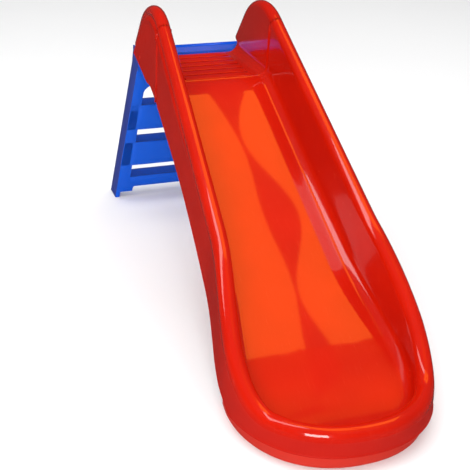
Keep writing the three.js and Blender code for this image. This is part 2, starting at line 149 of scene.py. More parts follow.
# a sheet of quads whose corners are placed row by row
def gridPiece(name, rows):
    clearSelection()
    bpy.ops.mesh.primitive_grid_add(x_subdivisions=len(rows[0]) - 1, y_subdivisions=len(rows) - 1, size=1)
    piece = bpy.context.active_object
    piece.name = name
    flat = [value for row in rows for point in row for value in point]
    piece.data.vertices.foreach_set("co", flat)
    piece.data.update()
    return piece


# a solid drawn out of one outline through further ones with as many corners
def loftPiece(name, levels):
    clearSelection()
    bpy.ops.mesh.primitive_circle_add(vertices=len(levels[0]), radius=1, fill_type="NGON")
    piece = bpy.context.active_object
    piece.name = name
    ring = list(range(len(levels[0])))
    placeCorners(piece, ring, levels[0])
    for before, outline in zip(levels, levels[1:]):
        editAll(piece, lambda: bpy.ops.mesh.select_all(action="DESELECT"))
        for polygon in piece.data.polygons:
            polygon.select = False
        for edge in piece.data.edges:
            edge.select = False
        for vertex in piece.data.vertices:
            vertex.select = vertex.index in ring
        pick(piece)
        bpy.ops.object.mode_set(mode="EDIT")
        bpy.ops.mesh.select_mode(type="VERT")
        bpy.ops.mesh.extrude_region_move()
        bpy.ops.object.mode_set(mode="OBJECT")
        fresh = [vertex.index for vertex in piece.data.vertices if vertex.select]
        ring = [nearestOf(piece, fresh, corner) for corner in before]
        placeCorners(piece, ring, outline)
    editAll(piece, faceOutward)
    return piece


def nearestOf(piece, indices, corner):
    return min(indices, key=lambda index: (piece.data.vertices[index].co - corner).length)


def placeCorners(piece, indices, corners):
    for index, corner in zip(indices, corners):
        piece.data.vertices[index].co = corner
    piece.data.update()


def copyMirrored(piece, name):
    clearSelection()
    other = piece.copy()
    other.data = piece.data.copy()
    other.name = name
    bpy.context.scene.collection.objects.link(other)
    for vertex in other.data.vertices:
        vertex.co.x = -vertex.co.x
    other.data.update()
    editAll(other, faceOutward)
    return other


def rodPiece(name, radius, start, end, sides):
    clearSelection()
    middle = (start + end) / 2
    depth = (end - start).length
    bpy.ops.mesh.primitive_cylinder_add(vertices=sides, radius=radius, depth=depth, location=middle)
    piece = bpy.context.active_object
    piece.name = name
    piece.rotation_euler = (end - start).to_track_quat("Z", "Y").to_euler()
    bpy.ops.object.transform_apply(location=True, rotation=True, scale=True)
    return piece


def blockPiece(name, low, high):
    clearSelection()
    middle = (low + high) / 2
    bpy.ops.mesh.primitive_cube_add(size=1, location=middle, scale=high - low)
    piece = bpy.context.active_object
    piece.name = name
    bpy.ops.object.transform_apply(location=True, rotation=True, scale=True)
    return piece


# a shader socket that takes part in sums
class Wire:
    def __init__(self, finish, socket):
        self.finish = finish
        self.socket = socket

    def worked(self, operation, first, second, third=0.0):
        return self.finish.node("ShaderNodeMath", {"operation": operation}, {0: first, 1: second, 2: third})

    def __add__(self, other):
        return self.worked("ADD", self, other)

    def __radd__(self, other):
        return self.worked("ADD", other, self)

    def __sub__(self, other):
        return self.worked("SUBTRACT", self, other)

    def __rsub__(self, other):
        return self.worked("SUBTRACT", other, self)

    def __mul__(self, other):
        return self.worked("MULTIPLY", self, other)

    def __rmul__(self, other):
        return self.worked("MULTIPLY", other, self)


class Finish:
    def __init__(self, name):
        self.material = bpy.data.materials.new(name)
        self.material.use_nodes = True
        self.tree = self.material.node_tree
        self.shader = self.tree.nodes["Principled BSDF"]

    def node(self, kind, settings, inputs, output=0):
        made = self.tree.nodes.new(kind)
        for key, value in settings.items():
            if key == "stops":
                self.setStops(made.color_ramp, value)
            else:
                setattr(made, key, value)
        for key, value in inputs.items():
            self.feed(made.inputs[key], value)
        return Wire(self, made.outputs[output])

    def setStops(self, ramp, stops):
        while len(ramp.elements) < len(stops):
            ramp.elements.new(0.5)
        for element, (place, shade) in zip(ramp.elements, stops):
            element.position = place
            element.color = (shade, shade, shade, 1)

    def feed(self, socket, value):
        if isinstance(value, Wire):
            self.tree.links.new(value.socket, socket)
        else:
            socket.default_value = value

    def set(self, socket, value):
        self.feed(self.shader.inputs[socket], value)

    def place(self, scale=(1, 1, 1)):
        spot = self.node("ShaderNodeTexCoord", {}, {}, "Object")
        return self.node("ShaderNodeMapping", {"vector_type": "POINT"}, {"Vector": spot, "Scale": scale})

    def noise(self, size, detail=3.0, rough=0.5, stretch=(1, 1, 1), distortion=0.0):
        return self.node("ShaderNodeTexNoise", {"noise_dimensions": "3D"}, {
            "Vector": self.place(stretch), "Scale": 1 / size, "Detail": detail,
            "Roughness": rough, "Distortion": distortion}, "Fac")

    def ramp(self, value, *stops):
        return self.node("ShaderNodeValToRGB", {"stops": stops}, {"Fac": value})

    def blend(self, factor, first, second):
        made = self.tree.nodes.new("ShaderNodeMix")
        made.data_type = "RGBA"
        self.feed(made.inputs[0], factor)
        self.feed(made.inputs[6], first)
        self.feed(made.inputs[7], second)
        return Wire(self, made.outputs[2])

    def bump(self, height, distance, strength=1.0, under=None):
        inputs = {"Height": height, "Distance": distance, "Strength": strength}
        if under:
            inputs["Normal"] = under
        return self.node("ShaderNodeBump", {}, inputs)


# camera, set before the pieces so that the view is settled first

cameraSetup = {
    "place": (-0.72755, -1.82118, 1.16434),
    "turn": 0.333161,
    "tilt": 0.468063,
    "roll": 0.032596,
    "focal": 73.03,
    "shift": (0.0559, -0.0204),
}


def buildCamera():
    turn = cameraSetup["turn"]
    tilt = cameraSetup["tilt"]
    roll = cameraSetup["roll"]
    ahead = Vector((math.sin(turn) * math.cos(tilt), math.cos(turn) * math.cos(tilt), -math.sin(tilt)))
    right = ahead.cross(Vector((0, 0, 1))).normalized()
    up = right.cross(ahead)
    side = right * math.cos(roll) + up * math.sin(roll)
    over = up * math.cos(roll) - right * math.sin(roll)
    data = bpy.data.cameras.new("viewCamera")
    camera = bpy.data.objects.new("viewCamera", data)
    bpy.context.scene.collection.objects.link(camera)
    turned = Matrix((side, over, -ahead)).transposed().to_4x4()
    camera.matrix_world = Matrix.Translation(cameraSetup["place"]) @ turned
    data.sensor_width = 36
    data.lens = cameraSetup["focal"]
    data.shift_x, data.shift_y = cameraSetup["shift"]
    bpy.context.scene.camera = camera


buildCamera()
print("camera placed")


# slide body: distances run from the tip of the exit, in metres

body = {
    "wall": 0.003,
    "platformHeight": 0.454,
    "platformRear": 1.089,
    "platformDepth": 0.216,
    "slopeRise": 0.575,
    "exitFloor": 0.024,
    "bedBlend": 0.014,
    "edgeBlend": 0.005,
    "taperBlend": 0.04,
    "taperOverrun": 0.075,
    "cove": 0.024,
    "rimRadiusTop": 0.0155,
    "rimRadiusExit": 0.018,
    "rimHalfTop": 0.134,
    "rimHalfExit": 0.172,
    "flare": 0.018,
    "flareRun": 0.200,
    "rimOverBed": 0.116,
    "rimExitHeight": 0.070,
    "dipLead": 0.162,  # the rim starts to dip this far behind the rounded end
    "dipPull": 0.110,
    "dipSettle": 0.048,
    "dipLift": 0.004,
    "dipEnd": 0.118,
    "exitDepth": 0.211,
    "exitPower": 2.2,
    "bowlReach": 0.088,
    "footRise": 0.028,
    "footSetback": 0.018,
    "rearRise": 1.25,
    "tipRadius": 0.122,
    "wingJoin": 0.025,  # the wing runs into the side wall this far behind the platform's front edge
    "joinGap": 0.010,
    "edgeRun": 0.016,
    "lobeReach": 0.024,
    "skirtExit": 0.034,
    "draft": 0.002,
    "slats": 6,
    "slatWidth": 0.0265,
    "slatHeight": 0.0026,
    "slatInset": 0.010,
    "slatMargin": 0.008,
    "slatRound": 0.0016,
    "edgeRound": 0.0007,
    "edgeLip": 0.0012,
    "lipRun": 0.005,
    "ridgeHeight": 0.0030,
    "ridgePlace": 0.0185,  # down the outer skin from the rim
    "ridgeSpread": 0.0058,
    "grooveDepth": 0.0022,
    "groovePlace": 0.0065,
    "grooveSpread": 0.0036,
    "reliefStart": 0.52,
    "reliefGrowth": 0.26,
    "reliefNearWing": 0.10,
    "reliefLoss": 0.85,
    "closeDepth": 0.040,  # upper part of the outer skin, with finer rows
    "boreRadius": 0.00635,
    "boreSides": 40,
    "boreReach": 0.012,
    "boreMiddle": 0.150,
    "smoothAngle": 32,
}

platformFront = body["platformRear"] - body["platformDepth"]
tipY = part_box("slide_body")[0].y + body["draft"]


def bedHeight(y):
    slope = body["platformHeight"] + body["slopeRise"] * (y - platformFront)
    lower = smoothMax(body["exitFloor"], slope, body["bedBlend"])
    return smoothMin(lower, body["platformHeight"], body["edgeBlend"])


taperEnd = platformFront + body["taperOverrun"]
dipStart = body["exitDepth"] + body["dipLead"]


def taperShare(y):
    share = max(0.0, (y - body["exitDepth"]) / (taperEnd - body["exitDepth"]))
    return smoothMin(1.0, share, body["taperBlend"])


def rimHalf(y):
    flared = softStep((body["exitDepth"] + body["flareRun"] - y) / body["flareRun"])
    return mix(body["rimHalfExit"], body["rimHalfTop"], taperShare(y)) + body["flare"] * flared


def rimRadius(y):
    return mix(body["rimRadiusExit"], body["rimRadiusTop"], taperShare(y))


def rimSlope(y):
    return body["platformHeight"] + body["rimOverBed"] + body["slopeRise"] * (y - platformFront)


dipPoints = [
    (dipStart, rimSlope(dipStart)),
    (dipStart - body["dipPull"], rimSlope(dipStart - body["dipPull"])),
    (body["exitDepth"] - body["dipSettle"], body["rimExitHeight"] + body["dipLift"]),
    (body["exitDepth"] - body["dipEnd"], body["rimExitHeight"]),
]


def dipAt(t, axis):
    a, b, c, d = (point[axis] for point in dipPoints)
    return a * (1 - t) ** 3 + 3 * b * t * (1 - t) ** 2 + 3 * c * t * t * (1 - t) + d * t ** 3


def rimHeight(y):
    if y >= dipStart:
        return rimSlope(y)
    low, high = 0.0, 1.0
    for _ in range(30):
        middle = (low + high) / 2
        if dipAt(middle, 0) > y:
            low = middle
        else:
            high = middle
    return max(body["rimExitHeight"], dipAt(low, 1))


# how far the outer skin hangs below the bed along the slope, and below the platform
slopeDrops = [(0, 0.051), (0.1, 0.042), (0.25, 0.024), (0.37, 0.014), (0.5, 0.012), (0.6, 0.014),
              (0.76, 0.026), (0.88, 0.038), (0.95, 0.034), (1, 0.024)]
lobeDrops = [(-body["platformDepth"], 0.051), (-0.141, 0.029), (-0.104, 0.029), (-0.050, 0.014),
             (-0.010, 0.003), (body["lobeReach"], -0.006)]


def skirtHeight(y):
    if y >= platformFront:
        return body["platformHeight"] - throughPoints(lobeDrops, y - body["platformRear"])
    share = (platformFront - y) / (platformFront - body["exitDepth"])
    return max(body["skirtExit"], bedHeight(y) - throughPoints(slopeDrops, share))


# stations along one side, from the rear of the wing to the tip of the exit
def sideStations():
    foot = Vector((body["platformRear"] + body["footSetback"], body["platformHeight"] + body["footRise"]))
    cornerRun = (foot.y + body["rearRise"] * foot.x - rimSlope(0)) / (body["slopeRise"] + body["rearRise"])
    corner = Vector((cornerRun, rimSlope(cornerRun)))
    rearWay = (foot - corner).normalized()
    slopeWay = Vector((-1, -body["slopeRise"])).normalized()
    turn = math.pi - math.acos(rearWay.dot(slopeWay))
    reach = body["tipRadius"] * math.tan(turn / 2)
    arcStart = corner + rearWay * reach
    arcEnd = corner + slopeWay * reach
    arcCentre = corner + (rearWay + slopeWay).normalized() * (body["tipRadius"] / math.cos(turn / 2))
    startAngle = math.atan2(arcStart.y - arcCentre.y, arcStart.x - arcCentre.x)
    joinRun = min(arcEnd.x - body["joinGap"], platformFront + body["wingJoin"])
    skirtEnd = body["platformRear"] + body["lobeReach"]
    stations = []

    def wingStation(point, share):
        stations.append({
            "rim": Vector((rimHalf(point.x), point.x, point.y)),
            "inward": Vector((-1, 0, 0)),
            "floorRun": mix(body["platformRear"], joinRun, share),
            "skirtRun": mix(skirtEnd, joinRun, share),
        })

    rearSteps = 12
    for step in range(rearSteps):
        wingStation(foot.lerp(arcStart, step / rearSteps), step / rearSteps / 3)
    arcSteps = 28
    for step in range(arcSteps + 1):
        angle = startAngle + turn * step / arcSteps
        point = arcCentre + Vector((math.cos(angle), math.sin(angle))) * body["tipRadius"]
        wingStation(point, 1 / 3 + step / arcSteps * 7 / 12)
    joinSteps = 4
    for step in range(1, joinSteps):
        run = mix(arcEnd.x, joinRun, step / joinSteps)
        wingStation(Vector((run, rimHeight(run))), mix(11 / 12, 1, step / joinSteps))
    edge = body["edgeRun"]
    runs = [mix(joinRun, platformFront + edge, step / 3) for step in range(3)]
    runs += [mix(platformFront + edge, platformFront - edge, step / 14) for step in range(14)]
    runs += [mix(platformFront - edge, dipStart, step / 44) for step in range(44)]
    runs += [mix(dipStart, body["exitDepth"], step / 24) for step in range(24)]
    for run in runs:
        stations.append({
            "rim": Vector((rimHalf(run), run, rimHeight(run))),
            "inward": Vector((-1, 0, 0)),
            "floorRun": run,
            "skirtRun": run,
        })
    exitSteps = 48
    depth = body["exitDepth"] - body["rimRadiusExit"]
    half = rimHalf(body["exitDepth"])
    power = body["exitPower"]
    for step in range(exitSteps + 1):
        angle = math.pi / 2 * step / exitSteps
        across = signedPower(math.cos(angle), 2 / power) if step < exitSteps else 0.0
        along = signedPower(math.sin(angle), 2 / power)
        y = body["exitDepth"] - depth * along
        inward = Vector((-(across ** (power - 1)) / half, along ** (power - 1) / depth, 0))
        stations.append({
            "rim": Vector((half * across, y, rimHeight(y))),
            "inward": inward.normalized(),
            "spineRun": mix(body["exitDepth"], body["bowlReach"], math.sin(angle)),
        })
    for index, station in enumerate(stations):
        before = stations[max(0, index - 1)]["rim"]
        after = stations[min(len(stations) - 1, index + 1)]["rim"]
        way = Vector((-1, 0, 0)) if index == len(stations) - 1 else (after - before).normalized()
        station["up"] = station["inward"].cross(way).normalized()
    return stations


sectionSteps = {"floor": 12, "cove": 8, "side": 8, "rim": 16, "nearSkirt": 20, "skirt": 12}


# how far the outer skin stands out below the rim, at a depth below it and a place along the side
def reliefAt(depth, station):
    y = station["rim"].y
    fade = softStep((y - body["reliefStart"]) / body["reliefGrowth"])
    tipFade = 1 - body["reliefLoss"] * softStep((y - body["platformRear"] + body["reliefNearWing"]) / 0.06)
    ridge = body["ridgeHeight"] * math.exp(-((depth - body["ridgePlace"]) / body["ridgeSpread"]) ** 2)
    groove = body["grooveDepth"] * math.exp(-((depth - body["groovePlace"]) / body["grooveSpread"]) ** 2)
    return (ridge - groove) * fade * tipFade


# one cross-section of the visible skin, from the middle of the bed out to the lower edge of the skirt
def sectionPoints(station):
    rim = station["rim"]
    inward = station["inward"]
    up = station["up"]
    radius = rimRadius(rim.y)
    straight = "floorRun" in station
    corner = rim + inward * (radius + body["draft"])
    if straight:
        run = station["floorRun"]
        corner = Vector((rimHalf(run) - rimRadius(run) - body["draft"], run, corner.z))
    spineRun = station["floorRun"] if straight else station["spineRun"]
    floorEnd = corner + inward * body["cove"]
    points = []
    for step in range(sectionSteps["floor"]):
        t = step / sectionSteps["floor"]
        y = mix(spineRun, floorEnd.y, t)
        points.append(Vector((floorEnd.x * t, y, bedHeight(y))))
    for step in range(sectionSteps["cove"] + 1):
        angle = math.pi / 2 * step / sectionSteps["cove"]
        point = corner + inward * (body["cove"] * (1 - math.sin(angle)))
        point.z = bedHeight(point.y) + body["cove"] * (1 - math.cos(angle))
        points.append(point)
    wallFoot = points[-1].copy()
    wallHead = rim + inward * radius
    for step in range(1, sectionSteps["side"]):
        points.append(wallFoot.lerp(wallHead, step / sectionSteps["side"]))
    for step in range(sectionSteps["rim"] + 1):
        angle = math.pi * step / sectionSteps["rim"]
        points.append(rim + inward * (radius * math.cos(angle)) + up * (radius * math.sin(angle)))
    head = points[-1].copy()
    foot = rim - inward * (radius + body["draft"])
    if straight:
        run = station["skirtRun"]
        foot = Vector((rimHalf(run) + rimRadius(run) + body["draft"], run, 0))
    foot.z = skirtHeight(foot.y)
    length = (foot - head).length
    near = min(body["closeDepth"], 0.6 * length)
    closeSteps, wideSteps = sectionSteps["nearSkirt"], sectionSteps["skirt"]
    depths = [near * step / closeSteps for step in range(1, closeSteps + 1)]
    depths += [mix(near, length, step / wideSteps) for step in range(1, wideSteps + 1)]
    for depth in depths:
        point = head.lerp(foot, depth / length)
        lip = body["edgeLip"] * softStep((depth - length + body["lipRun"]) / body["lipRun"])
        points.append(point - inward * (reliefAt(depth, station) + lip))
    return points


def buildSlideBody():
    rows = [sectionPoints(station) for station in sideStations()]
    for row in rows:
        for point in row:
            point.y += tipY
            if abs(point.x) < 1e-5:
                point.x = 0.0
    piece = gridPiece("slideBody", rows)
    middle = piece.data.polygons[30]
    if middle.normal.z < 0:
        editAll(piece, lambda: bpy.ops.mesh.flip_normals())
    applyModifier(piece, "MIRROR", use_axis=(True, False, False), use_clip=True, use_mirror_merge=True,
                  merge_threshold=1e-5)
    applyModifier(piece, "SOLIDIFY", thickness=body["wall"], offset=-1, use_even_offset=False)
    applyModifier(piece, "BEVEL", width=body["edgeRound"], segments=2, limit_method="ANGLE",
                  angle_limit=math.radians(55))
    slatHalf = rimHalf(body["platformRear"]) - body["rimRadiusTop"] - body["draft"]
    slatHalf = slatHalf - body["cove"] - body["slatInset"]
    slatLow = body["platformHeight"] - body["wall"] / 2
    slatTop = body["platformHeight"] + body["slatHeight"]
    pitch = (body["platformDepth"] - 2 * body["slatMargin"]) / body["slats"]
    for index in range(body["slats"]):
        centre = tipY + body["platformRear"] - body["slatMargin"] - pitch * (index + 0.5)
        low = Vector((-slatHalf, centre - body["slatWidth"] / 2, slatLow))
        high = Vector((slatHalf, centre + body["slatWidth"] / 2, slatTop))
        slat = blockPiece("slat", low, high)
        applyModifier(slat, "BEVEL", width=body["slatRound"], segments=3, limit_method="ANGLE")
        combine(piece, slat, "UNION")
    for way in (-1, 1):
        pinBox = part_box("hinge_pin_left" if way < 0 else "hinge_pin_right")
        centre = (pinBox[0] + pinBox[1]) / 2
        centre.x = way * body["boreMiddle"]
        reach = Vector((body["boreReach"], 0, 0))
        bore = rodPiece("bore", body["boreRadius"], centre - reach, centre + reach, body["boreSides"])
        combine(piece, bore, "DIFFERENCE")
    smoothSides(piece, body["smoothAngle"])
    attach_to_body(piece, "slide")
    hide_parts("slide_body")
    return piece


slideBody = buildSlideBody()
print("slide body", len(slideBody.data.polygons))


# exit base, a tray under the rounded end

base = {
    "inset": 0.012,
    "length": 0.250,
    "wall": 0.0035,
    "top": 0.052,
    "footDraw": 0.003,
    "bellyDraw": 0.0008,
    "bellyHeight": 0.0012,
    "fullHeight": 0.004,
    "round": 0.0009,
    "ribs": 4,
    "ribHalf": 0.086,
    "ribRound": 0.0006,
}


def exitOutline(offset, backRun):
    right = []
    stations = [station for station in sideStations() if "spineRun" in station]
    for step in range(6):
        run = mix(backRun, body["exitDepth"], step / 6)
        right.append(Vector((rimHalf(run) + offset, run + tipY, 0)))
    for station in stations[::2]:
        point = station["rim"] - station["inward"] * offset
        right.append(Vector((point.x, point.y + tipY, 0)))
    left = [Vector((-point.x, point.y, 0)) for point in reversed(right[:-1])]
    return right + left


def lifted(outline, height):
    return [Vector((point.x, point.y, height)) for point in outline]


def buildExitBase():
    outer = body["rimRadiusExit"] + body["draft"] - base["inset"]
    full = exitOutline(outer, base["length"])
    foot = exitOutline(outer - base["footDraw"], base["length"] - base["footDraw"])
    belly = exitOutline(outer - base["bellyDraw"], base["length"] - base["bellyDraw"])
    inner = exitOutline(outer - base["wall"], base["length"] - base["wall"])
    tray = loftPiece("exitBase", [
        lifted(foot, 0.0), lifted(belly, base["bellyHeight"]), lifted(full, base["fullHeight"]),
        lifted(full, base["top"]), lifted(inner, base["top"]), lifted(inner, base["wall"]),
    ])
    applyModifier(tray, "BEVEL", width=base["round"], segments=2, limit_method="ANGLE",
                  angle_limit=math.radians(50))
    for index in range(base["ribs"]):
        y = mix(body["rimRadiusExit"] * 4, body["exitDepth"], (index + 0.5) / base["ribs"])
        head = bedHeight(y - base["wall"]) - body["wall"] * 1.5
        half = base["wall"] / 2
        low = Vector((-base["ribHalf"], y - half + tipY, half))
        rib = blockPiece("rib", low, Vector((base["ribHalf"], y + half + tipY, head)))
        applyModifier(rib, "BEVEL", width=base["ribRound"], segments=2, limit_method="ANGLE")
        combine(tray, rib, "UNION")
    smoothSides(tray, body["smoothAngle"])
    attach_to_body(tray, "slide")
    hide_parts("exit_base")
    return tray


exitBase = buildExitBase()
print("exit base", len(exitBase.data.polygons))


# ladder: rails, treads, bowed step panels and the arched top panel

ladder = {
    "lean": 0.325,
    "gap": 0.004,
    "depth": 0.056,
    "skin": 0.0035,
    "halfFoot": 0.177,
    "halfTop": 0.1453,
    "flangeTop": 0.026,
    "flangeFoot": 0.036,
    "topRise": 0.003,
    "lip": 0.009,
    "pitch": 0.1195,
    "lowest": 0.069,
    "treads": 3,
    "riserDrop": 0.078,
    "bulge": 0.0055,
    "archDrop": 0.109,
    "archRise": 0.032,
    "panelGap": 0.021,
    "panelStep": 0.012,
    "noseDrop": 0.010,
    "noseSetback": 0.0006,
    "footFlare": 0.012,
    "footHeight": 0.017,
    "footWidth": 0.013,
    "shoulderDrop": 0.034,
    "flareStraight": 0.010,
    "flareTop": 0.016,
    "footRound": 0.0006,
    "earRadius": 0.015,
    "earThickness": 0.007,
    "armTaper": 0.001,
    "armBelow": 0.009,
    "armReach": 0.048,
    "armRound": 0.0012,
    "boreReach": 0.005,
    "endRise": 0.013,
    "round": 0.0011,
    "hair": 0.0003,
    "rearEdge": 0.006,
    "plateDrop": 0.040,
    "plateSkin": 0.004,
    "gripLines": 5,
    "gripHeight": 0.0008,
    "gripHalf": 0.0024,
    "gripTopHalf": 0.0016,
    "panelRound": 0.0009,
    "archLow": 0.012,
    "archStart": 0.008,
    "stepMargin": 0.004,
}
ladderShoulder = body["platformHeight"] - ladder["shoulderDrop"]
topLevel = body["platformHeight"] + ladder["topRise"]


def ladderFront(z):
    return body["platformRear"] + ladder["gap"] + ladder["lean"] * (body["platformHeight"] - z)


def ladderHalf(z):
    return mix(ladder["halfFoot"], ladder["halfTop"], min(1, z / ladderShoulder))


def flangeWidth(z):
    return mix(ladder["flangeFoot"], ladder["flangeTop"], min(1, z / body["platformHeight"]))


def railOutline(z, extra):
    x = ladderHalf(z)
    front = ladderFront(z) + tipY
    back = front + ladder["depth"]
    skin = ladder["skin"]
    flange = x - flangeWidth(z) - extra
    corners = [
        (flange, front), (x, front), (x, back), (x - ladder["lip"], back), (x - ladder["lip"], back - skin),
        (x - skin, back - skin), (x - skin, front + skin), (flange, front + skin),
    ]
    return [Vector((a, b, z)) for a, b in corners]


def insideHalf(z):
    return ladderHalf(z) - ladder["skin"] / 2


def rounded(piece, width=None, angle=40):
    applyModifier(piece, "BEVEL", width=width or ladder["round"], segments=2, limit_method="ANGLE",
                  angle_limit=math.radians(angle))
    return piece


def railPiece():
    foot = ladder["footHeight"]
    footLevels = [railOutline(z, ladder["footWidth"] - flangeWidth(z)) for z in (0.0, foot + 0.001)]
    rail = rounded(loftPiece("rail", [
        railOutline(foot, ladder["footFlare"]),
        railOutline(foot + ladder["flareStraight"], ladder["footFlare"]),
        railOutline(foot + ladder["flareTop"], 0), railOutline(ladderShoulder, 0),
        railOutline(body["platformHeight"], 0),
    ]))
    attach(rail, rounded(loftPiece("railFoot", footLevels), ladder["footRound"]))
    return rail


# ear round the hinge pin, with the arm that carries it
def earPiece(pinCentre):
    outer = ladder["halfTop"]
    thin = outer - ladder["earThickness"]
    hub = rodPiece("ear", ladder["earRadius"], Vector((thin, pinCentre.y, pinCentre.z)),
                   Vector((outer, pinCentre.y, pinCentre.z)), 48)
    top = body["platformHeight"]
    rear = ladderFront(top) + tipY
    low = top - ladder["armBelow"]
    high = pinCentre.z + ladder["earRadius"] - ladder["armTaper"]
    end = rear + ladder["armReach"]
    side = [(pinCentre.y, low), (end, low), (end, topLevel), (end - 0.008, topLevel + 0.003),
            (end - 0.020, high - 0.007), (end - 0.027, high), (pinCentre.y, high)]
    hair = ladder["hair"]
    sides = [[Vector((x, y, z)) for y, z in side] for x in (thin + hair, outer - hair)]
    combine(hub, rounded(loftPiece("arm", sides), ladder["armRound"]), "UNION")
    start = Vector((thin - ladder["boreReach"], pinCentre.y, pinCentre.z))
    end = Vector((outer + ladder["boreReach"], pinCentre.y, pinCentre.z))
    combine(hub, rodPiece("bore", body["boreRadius"], start, end, body["boreSides"]), "DIFFERENCE")
    return hub


# tread outline seen from the side, with low grip lines on its top
def treadOutline(z, half, rearEdge=0.0):
    front = ladderFront(z) + ladder["skin"] / 2 + tipY
    back = ladderFront(z) + ladder["depth"] - ladder["noseSetback"] + tipY
    skin = ladder["skin"]
    corners = [(front, z - skin), (back - skin, z - skin), (back - skin, z - ladder["noseDrop"]),
               (back, z - ladder["noseDrop"]), (back, z + rearEdge - 0.0015), (back - 0.0015, z + rearEdge),
               (back - 0.004, z + rearEdge), (back - 0.0055, z + 0.0002)]
    for index in range(ladder["gripLines"]):
        centre = mix(back - 0.012, front + 0.010, index / (ladder["gripLines"] - 1))
        lineTop = z + ladder["gripHeight"]
        corners += [(centre + ladder["gripHalf"], z), (centre + ladder["gripTopHalf"], lineTop),
                    (centre - ladder["gripTopHalf"], lineTop), (centre - ladder["gripHalf"], z)]
    corners.append((front, z))
    return [Vector((half, y, height)) for y, height in corners]


def treadPiece(z, rearEdge=0.0):
    half = insideHalf(z)
    return loftPiece("tread", [treadOutline(z, -half, rearEdge), treadOutline(z, half, rearEdge)])


# step panel, bowed towards the slide, with rounded ends
def riserPiece(low, high, bulge):
    rows = []
    down, wide = 14, 64
    for i in range(down + 1):
        z = mix(low, high, i / down)
        half = insideHalf(z)
        swellHalf = ladderHalf(z) - flangeWidth(z) + 0.004
        row = []
        for j in range(wide + 1):
            s = -math.cos(math.pi * j / wide)
            x = half * s
            side = min(1.0, abs(x) / swellHalf)
            swell = bulge * (1 - side ** 10) ** 0.5
            tall = 1 - abs(2 * i / down - 1) ** 6
            row.append(Vector((x, ladderFront(z) + tipY - swell * mix(0.45, 1, tall), z)))
        rows.append(row)
    piece = gridPiece("riser", rows)
    if piece.data.polygons[0].normal.y > 0:
        editAll(piece, lambda: bpy.ops.mesh.flip_normals())
    applyModifier(piece, "SOLIDIFY", thickness=ladder["skin"], offset=-1)
    return rounded(piece, ladder["panelRound"], 50)


def archedPanel():
    side = body["platformHeight"] - ladder["archDrop"]
    low = side - ladder["archLow"]
    half = ladderHalf(side) - flangeWidth(side)
    arch = []
    steps = 24
    rise = ladder["archRise"]
    for step in range(steps + 1):
        t = step / steps
        angle = math.pi * t
        x = half * signedPower(math.cos(angle), 0.62)
        z = side - ladder["archStart"] + (rise + ladder["archStart"]) * signedPower(math.sin(angle), 0.75)
        arch.append((x, z))
    lowHalf = insideHalf(low)
    topHalf = insideHalf(body["platformHeight"])
    high = topLevel - 0.002
    outline = [(-lowHalf, low), (-topHalf, high), (topHalf, high), (lowHalf, low), (half, low)]
    outline += arch + [(-half, low)]

    def level(offset):
        return [Vector((x, ladderFront(z) + tipY + offset + ladder["hair"], z)) for x, z in outline]

    return rounded(loftPiece("topPanel", [level(0), level(ladder["skin"])]), ladder["panelRound"], 50)


def bottomPanel():
    low = ladder["panelGap"]
    step = low + ladder["panelStep"]
    high = ladder["lowest"] - 0.001
    stepHalf = ladderHalf(0) - flangeWidth(0) - ladder["footFlare"] - ladder["stepMargin"]
    outline = [(-insideHalf(low), low), (-insideHalf(high), high), (insideHalf(high), high),
               (insideHalf(low), low), (stepHalf + ladder["stepMargin"], low), (stepHalf, step),
               (-stepHalf, step),
               (-stepHalf - ladder["stepMargin"], low)]

    def level(offset):
        return [Vector((x, ladderFront(z) + tipY + offset + ladder["hair"], z)) for x, z in outline]

    return rounded(loftPiece("bottomPanel", [level(0), level(ladder["skin"])]), ladder["panelRound"], 50)


# swept-up end of the top level beside a wing
def endRisePiece():
    outer = ladder["halfTop"]
    radius = ladder["endRise"] * 1.9
    front = ladderFront(topLevel) + tipY + 0.024
    back = ladderFront(topLevel) + tipY + ladder["depth"] - ladder["noseSetback"]
    corners = [(outer, topLevel - 0.006), (outer, topLevel + ladder["endRise"])]
    steps = 8
    for step in range(steps + 1):
        angle = math.pi / 2 * step / steps
        x = outer - ladder["skin"] - radius * (1 - math.cos(angle))
        corners.append((x, topLevel + ladder["endRise"] * (1 - math.sin(angle)) ** 1.4))
    corners.append((outer - ladder["skin"] - radius, topLevel - 0.002))

    def level(y):
        return [Vector((x, y, z)) for x, z in corners]

    return rounded(loftPiece("endRise", [level(front), level(back)]), 0.0007, 45)


def buildLadder():
    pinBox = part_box("hinge_pin_right")
    pinCentre = (pinBox[0] + pinBox[1]) / 2
    piece = railPiece()
    piece.name = "ladderFrame"
    attach(piece, earPiece(pinCentre))
    rear = ladderFront(body["platformHeight"]) + tipY
    plateRear = rear + ladder["depth"] - 2 * ladder["noseSetback"]
    plateFoot = body["platformHeight"] - ladder["plateDrop"]
    plateLow = Vector((ladder["halfTop"] - ladder["plateSkin"], rear + 0.002, plateFoot))
    plateHigh = Vector((ladder["halfTop"] - ladder["hair"], plateRear, topLevel - ladder["hair"]))
    plate = blockPiece("sidePlate", plateLow, plateHigh)
    attach(piece, plate)
    attach(piece, endRisePiece())
    attach(piece, copyMirrored(piece, "leftSide"))
    for index in range(ladder["treads"]):
        z = ladder["lowest"] + ladder["pitch"] * index
        attach(piece, treadPiece(z))
        if index > 0:
            attach(piece, riserPiece(z - ladder["riserDrop"], z - 0.0005, ladder["bulge"]))
    attach(piece, treadPiece(topLevel, ladder["rearEdge"]))
    attach(piece, archedPanel())
    attach(piece, bottomPanel())
    smoothSides(piece, body["smoothAngle"])
    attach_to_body(piece, "ladder")
    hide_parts("ladder")
    return piece


ladderPiece = buildLadder()
print("ladder", len(ladderPiece.data.polygons))


# finishes

redFinish = {
    "bed": (0.54, 0.009, 0.0015, 1),
    # darker red, used for random tone and for painted shade on the outer skin
    "deepToneAndOuterShade": (0.40, 0.005, 0.001, 1),
    "worn": (0.68, 0.050, 0.020, 1),
    "gloss": 0.14,
    "outerGloss": 0.40,
    "runOutEnd": 0.256,
}


